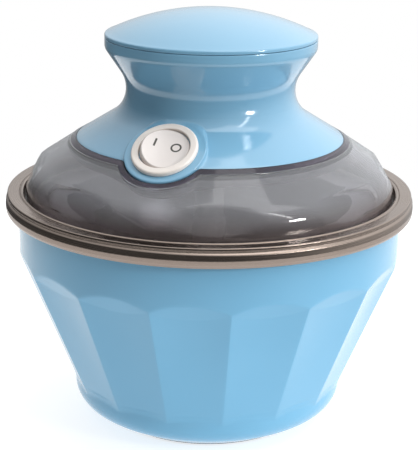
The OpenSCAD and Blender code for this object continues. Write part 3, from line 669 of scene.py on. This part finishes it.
class Bore:
    """A round hole through a wall whose two skins have the same rows, mirrored: the cells that
    it takes out, with the vertices round it drawn onto the circle."""

    def __init__(self, grid, rows, height, radius):
        self.rows, columns = rows, grid.shape[1]
        behind = grid[..., 1] > 0
        offset = np.stack([grid[..., 0], grid[..., 2] - height], -1)
        reach = np.linalg.norm(offset, axis=-1)
        pairs = (offset + np.roll(offset, -1, 1)) / 2
        centre = (pairs[:-1] + pairs[1:]) / 2
        taken = ((np.linalg.norm(centre, axis=-1) < radius) & behind[:-1])[:rows - 1]
        self.cells = np.zeros((2 * rows, columns), bool)
        self.cells[:rows - 1] = taken
        self.cells[rows:2 * rows - 1] = taken[::-1]
        touched, inner = np.zeros((rows, columns), bool), np.ones((rows, columns), bool)
        for down in (0, 1):
            for right in (0, 1):
                part = np.zeros((rows, columns), bool)
                part[down:rows - 1 + down] = np.roll(taken, right, 1)
                touched |= part
                inner &= part
        ring = touched & ~inner
        ring = np.concatenate([ring, ring[::-1]])
        scale = np.where(ring, radius / np.maximum(reach, 1e-6), 1)
        grid[..., 0] *= scale
        grid[..., 2] = height + (grid[..., 2] - height) * scale
        self.taken = taken

    def wall(self, index):
        """Faces through the wall along each edge between a taken cell and one that stays."""
        rows = self.rows
        outer, inner = index[:rows], index[rows:2 * rows][::-1]
        taken = np.pad(self.taken, ((1, 1), (0, 0)))
        faces = []
        for i, j in zip(*np.nonzero(taken)):
            k, right = i - 1, (j + 1) % index.shape[1]
            sides = (((i - 1, j), (k, right), (k, j)), ((i + 1, j), (k + 1, j), (k + 1, right)),
                     ((i, j - 1), (k, j), (k + 1, j)), ((i, right), (k + 1, right), (k, right)))
            for neighbour, a, b in sides:
                if not taken[neighbour]:
                    faces.append((outer[a], outer[b], inner[b], inner[a]))
        return np.array(faces)


cord_hole = Bore(housing_grid, len(steps), gland_z, gland_hole_r)
housing = skin("housing", housing_grid, loop=True, bore=cord_hole)
unit_blue = plastic("glossy_blue_casing", tone(124, 175, 205), tone(132, 183, 212), 0.09,
                    Coat_Weight=0.6, Coat_Roughness=0.03)
fit(housing, unit_blue, "motor_unit", "housing_blue", "motor_housing")

# ---- cap and base plate ---------------------------------------------------------------------
# The cap is a low dome that snaps into the head with a spigot, from the same blue. The base
# plate is charcoal, with a bulge that closes the boss from behind, and four screws hold it.
dome_r, dome_z = 103.4, 77.9


def dome_arc(radius, start, stop, count):
    """Points along the dome's section, which is a circle round a point on the axis."""
    r = np.linspace(start, stop, count)
    return [(a, dome_z + math.sqrt(radius ** 2 - a ** 2)) for a in r]


cap_section = np.concatenate([
    np.array(dome_arc(dome_r - wall, 0, 40.7, 16)),
    outline([(40.7, 169.0), (40.7, 166.0, 0.3), (42.95, 166.0, 0.3), (42.95, 169.5, 0.1),
             (45.5, 169.5, 0.25), (45.5, 170.9, 0.8), (44.3, 171.4)], rounds=5),
    np.array(dome_arc(dome_r, 44.0, 0, 28))])
cap = turned("cap", cap_section)
fit(cap, unit_blue, "motor_unit", "housing_blue", "top_cap")
charcoal = plastic("charcoal_plastic", tone(46, 44, 52), tone(54, 52, 60), 0.38, grain=0.006)
dress(charcoal, "base_plate", "switch_body")

# ---- switch ---------------------------------------------------------------------------------
# A round rocker switch in cream plastic, pressed into the boss. The rocker's top is hollowed
# across, and its on and off marks are printed in dark ink.
to_switch = Matrix.Translation((0, -switch_r, switch_z)) @ Matrix.Rotation(switch_tilt, 4, "X")


def carry(grid, *moves):
    """The grid moved by each matrix in turn, from the last to the first."""
    for move in reversed(moves):
        m = np.array(move)
        grid = grid @ m[:3, :3].T + m[:3, 3]
    return grid


def turned_grid(points, columns):
    """Rows and columns of a surface of revolution round its own axis."""
    angle = np.linspace(0, 2 * math.pi, columns, endpoint=False)
    return np.stack([points[:, :1] * np.cos(angle), points[:, :1] * np.sin(angle),
                     points[:, 1:] + 0 * angle], -1)


bezel_section = outline([(10.7, -3.8, 0.2), (11.6, -3.8, 0.2), (11.6, 0.05, 0.1), (13.8, 0.05, 0.2),
                         (13.8, 2.0, 0.9), (10.7, 2.0, 0.4)], rounds=6, step=0.8, closed=True)
switch_columns = 128
bezel_grid = carry(turned_grid(bezel_section, switch_columns), to_switch)
bezel = skin("switch_frame", bezel_grid, loop=True)
cream = plastic("cream_plastic", tone(246, 235, 226), tone(249, 240, 232), 0.24, mottle=8)
fit(bezel, cream, "motor_unit", "cream_plastic", "switch_bezel")

rocker_ball, rocker_low, rocker_rest = 10.4, -1.0, math.radians(10)
dish_r, dish_z, rocker_high = 40.4, 43, 3.7
rocker_round, top_inset = 0.45, 0.5
rocker_angle = np.linspace(0, 2 * math.pi, switch_columns, endpoint=False)


def rocker_top(x):
    """The height of the rocker's top, a hollow cylinder across it."""
    return np.minimum(dish_z - np.sqrt(dish_r ** 2 - x ** 2), rocker_high)


rim_height = np.full_like(rocker_angle, 3.0)
for _ in range(12):
    rim_reach = np.sqrt(rocker_ball ** 2 - rim_height ** 2)
    rim_height = rocker_top(rim_reach * np.cos(rocker_angle))
side_rows = [(np.sqrt(rocker_ball ** 2 - h ** 2), h) for h in
             (rocker_low + (rim_height - rocker_round - rocker_low) * s
              for s in np.linspace(0, 1, 12))]
corner_rows = [(rim_reach - 0.04 - rocker_round * s ** 2, rim_height - rocker_round * (1 - s) ** 2)
               for s in np.linspace(0, 1, 6)[1:]]
top_reach = rim_reach - top_inset
top_rows = [(top_reach * s, rocker_top(top_reach * s * np.cos(rocker_angle)))
            for s in np.linspace(1, 0, 24)[1:]]
bottom_reach = math.sqrt(rocker_ball ** 2 - rocker_low ** 2) - 0.3
bottom_rows = [(bottom_reach * s * np.ones(switch_columns), np.full(switch_columns, rocker_low))
               for s in np.linspace(0, 1, 6)]
rocker_rows = bottom_rows + side_rows + corner_rows + top_rows
rocker_r = np.array([r for r, _ in rocker_rows])
rocker_z = np.array([z for _, z in rocker_rows])
rocker_grid = np.stack([rocker_r * np.cos(rocker_angle), rocker_r * np.sin(rocker_angle),
                        rocker_z], -1)
to_rocker = to_switch @ Matrix.Translation((0, 0, -1)) @ Matrix.Rotation(rocker_rest, 4, "Y")
rocker = skin("switch_rocker_cap", carry(rocker_grid, to_rocker))

ink = Finish("printed_cream_plastic")
along, up_slope = to_rocker.to_3x3().col[0], to_rocker.to_3x3().col[1]
pivot = to_rocker.translation


def measured(direction):
    """How far a point on the rocker lies from its pivot in that direction, in millimetres."""
    part = ink.node("VectorMath", {"operation": "DOT_PRODUCT"},
                    {0: ink.place(), 1: tuple(direction)}, "Value")
    return part - float(direction.dot(pivot))


def within(value, limit):
    """1 where value is under limit and 0 past it, with an edge a few hundredths wide."""
    return ink.node("MapRange", {"interpolation_type": "SMOOTHSTEP"},
                    {"Value": value, "From Min": limit - 0.06, "From Max": limit + 0.06,
                     "To Min": 1.0, "To Max": 0.0})


marks_up = 1.4
bar_left, bar_up, bar_half_width, bar_half_length = 4.9, 0.6, 0.42, 2.0
ring_right, ring_r, ring_half_width = 4.1, 1.9, 0.38
mark_x, mark_y = measured(along), measured(up_slope) - marks_up
bar = (within(abs(mark_x + bar_left), bar_half_width)
       * within(abs(mark_y - bar_up), bar_half_length))
ring_x = mark_x - ring_right
ring = within(abs((ring_x * ring_x + mark_y * mark_y) ** 0.5 - ring_r), ring_half_width)
printed = bar + ring
cream_cloud = ink.noise(8.0)
body_colour = ink.mix(cream_cloud, tone(232, 222, 216), tone(238, 229, 224))
ink.feed({"Base Color": ink.mix(printed, body_colour, tone(72, 68, 60)),
          "Roughness": 0.22 + 0.06 * ink.noise(9.0) + 0.2 * printed})
ink.bump(ink.noise(2.6, 1.0) - 2.0 * printed, 0.006)
fit(rocker, ink.material, "rocker", "cream_plastic", "switch_rocker")

# ---- cord gland -----------------------------------------------------------------------------
# A black nylon gland in the back of the waist. The mains lead would pass through it, and it
# keeps the lead off the casing's edge.
gland = plastic("gland_nylon", tone(38, 38, 41), tone(46, 46, 49), 0.45, grain=0.008)
dress(gland, "cord_gland")


# ---- fastenings and metal parts -------------------------------------------------------------
# Zinc-plated screws and clips, ground shafts and rolled sheet, turned brass, and sintered
# bronze bushes. Each has the marks that its making leaves.
def metal(name, dark, light, size, roughness, depth, stretch=(1, 1, 1)):
    """Bare metal: tool marks or grain of that size, drawn out along an axis by its stretch."""
    finish = Finish(name, Metallic=1.0)
    marks = finish.noise(size, 3.0, finish.place(stretch))
    finish.feed({"Base Color": finish.mix(marks, dark, light),
                 "Roughness": roughness + 0.14 * marks})
    finish.bump(marks, depth)
    return finish.material


zinc = metal("zinc_plate", tone(150, 152, 158), tone(192, 194, 198), 0.8, 0.22, 0.004)
dress(zinc, "base_screws", "gearbox_screws", "gearbox_mount_screws", "motor_screws", "clamp_screws",
      "output_clip")
ground = metal("ground_steel", tone(140, 142, 148), tone(186, 188, 194), 0.25, 0.14, 0.003,
               (0.15, 0.15, 1))
dress(ground, "output_shaft", "layshaft_pin", "rotor_shaft")
rolled = metal("rolled_steel", tone(124, 127, 133), tone(160, 163, 168), 0.4, 0.3, 0.006,
               (1, 0.1, 0.1))
dress(rolled, "motor_endplate", "motor_can", "stator_plate_lower", "stator_plate_upper")
brass = metal("turned_brass", tone(176, 142, 78), tone(210, 178, 108), 0.3, 0.2, 0.004,
              (0.2, 0.2, 1))
dress(brass, "rotor_pinion", "switch_terminals")
bronze = metal("sintered_bronze", tone(138, 98, 62), tone(176, 130, 86), 0.5, 0.4, 0.012)
dress(bronze, "output_bush", "rotor_bushes")

# ---- gearbox and motor internals ------------------------------------------------------------
# White acetal gears in a nylon case, a lacquered copper coil on its bobbin, and a ferrite
# rotor, with brown leads to the switch and blue ones to the motor.
nylon = plastic("case_nylon", tone(214, 212, 202), tone(224, 222, 213), 0.42, grain=0.006)
dress(nylon, "gearbox_base", "gearbox_cover", "terminal_block", "cable_clamp", "coil_bobbin")
acetal = plastic("gear_acetal", tone(232, 231, 224), tone(238, 237, 231), 0.3)
dress(acetal, "compound_gear", "output_gear")
coil = Finish("lacquered_copper", Metallic=0.85)
wire_pitch = 0.35
layer = coil.axes(coil.place())[2] * (2 * math.pi / wire_pitch)
wire = layer.maths("SINE", layer)
coil.feed({"Base Color": coil.mix(coil.noise(6.0), tone(150, 76, 38), tone(182, 104, 58)),
           "Roughness": 0.3 + 0.08 * wire})
coil.bump(wire, 0.05)
dress(coil.material, "stator_coil")
ferrite = metal("ferrite", tone(48, 48, 52), tone(66, 66, 70), 0.6, 0.45, 0.01)
dress(ferrite, "rotor_magnet")
dress(plastic("brown_insulation", tone(104, 66, 46), tone(116, 76, 54), 0.4, mottle=6),
      "switch_leads")
dress(plastic("blue_insulation", tone(52, 88, 150), tone(62, 98, 160), 0.4, mottle=6),
      "motor_leads")

# ---- paddle ---------------------------------------------------------------------------------
# The dasher, a white food-grade moulding with two open blades. A hexagonal socket at the top
# of its stem takes the drive.
dasher = plastic("white_moulding", tone(228, 229, 226), tone(236, 237, 235), 0.34, grain=0.004)
dress(dasher, "paddle")

# ---- floor finish ---------------------------------------------------------------------------
# Matt white laminate with a soft light of its own, so that the table stays pale and the
# shadow on it faint.
floor_finish = Finish("white_laminate")
floor_finish.feed({"Base Color": floor_finish.mix(floor_finish.noise(300.0), (0.40, 0.40, 0.40, 1),
                                                  (0.42, 0.42, 0.42, 1)),
                   "Roughness": 0.6 + 0.1 * floor_finish.noise(60.0),
                   "Emission Color": (1, 1, 1, 1), "Emission Strength": 0.75})
floor.data.materials.append(floor_finish.material)
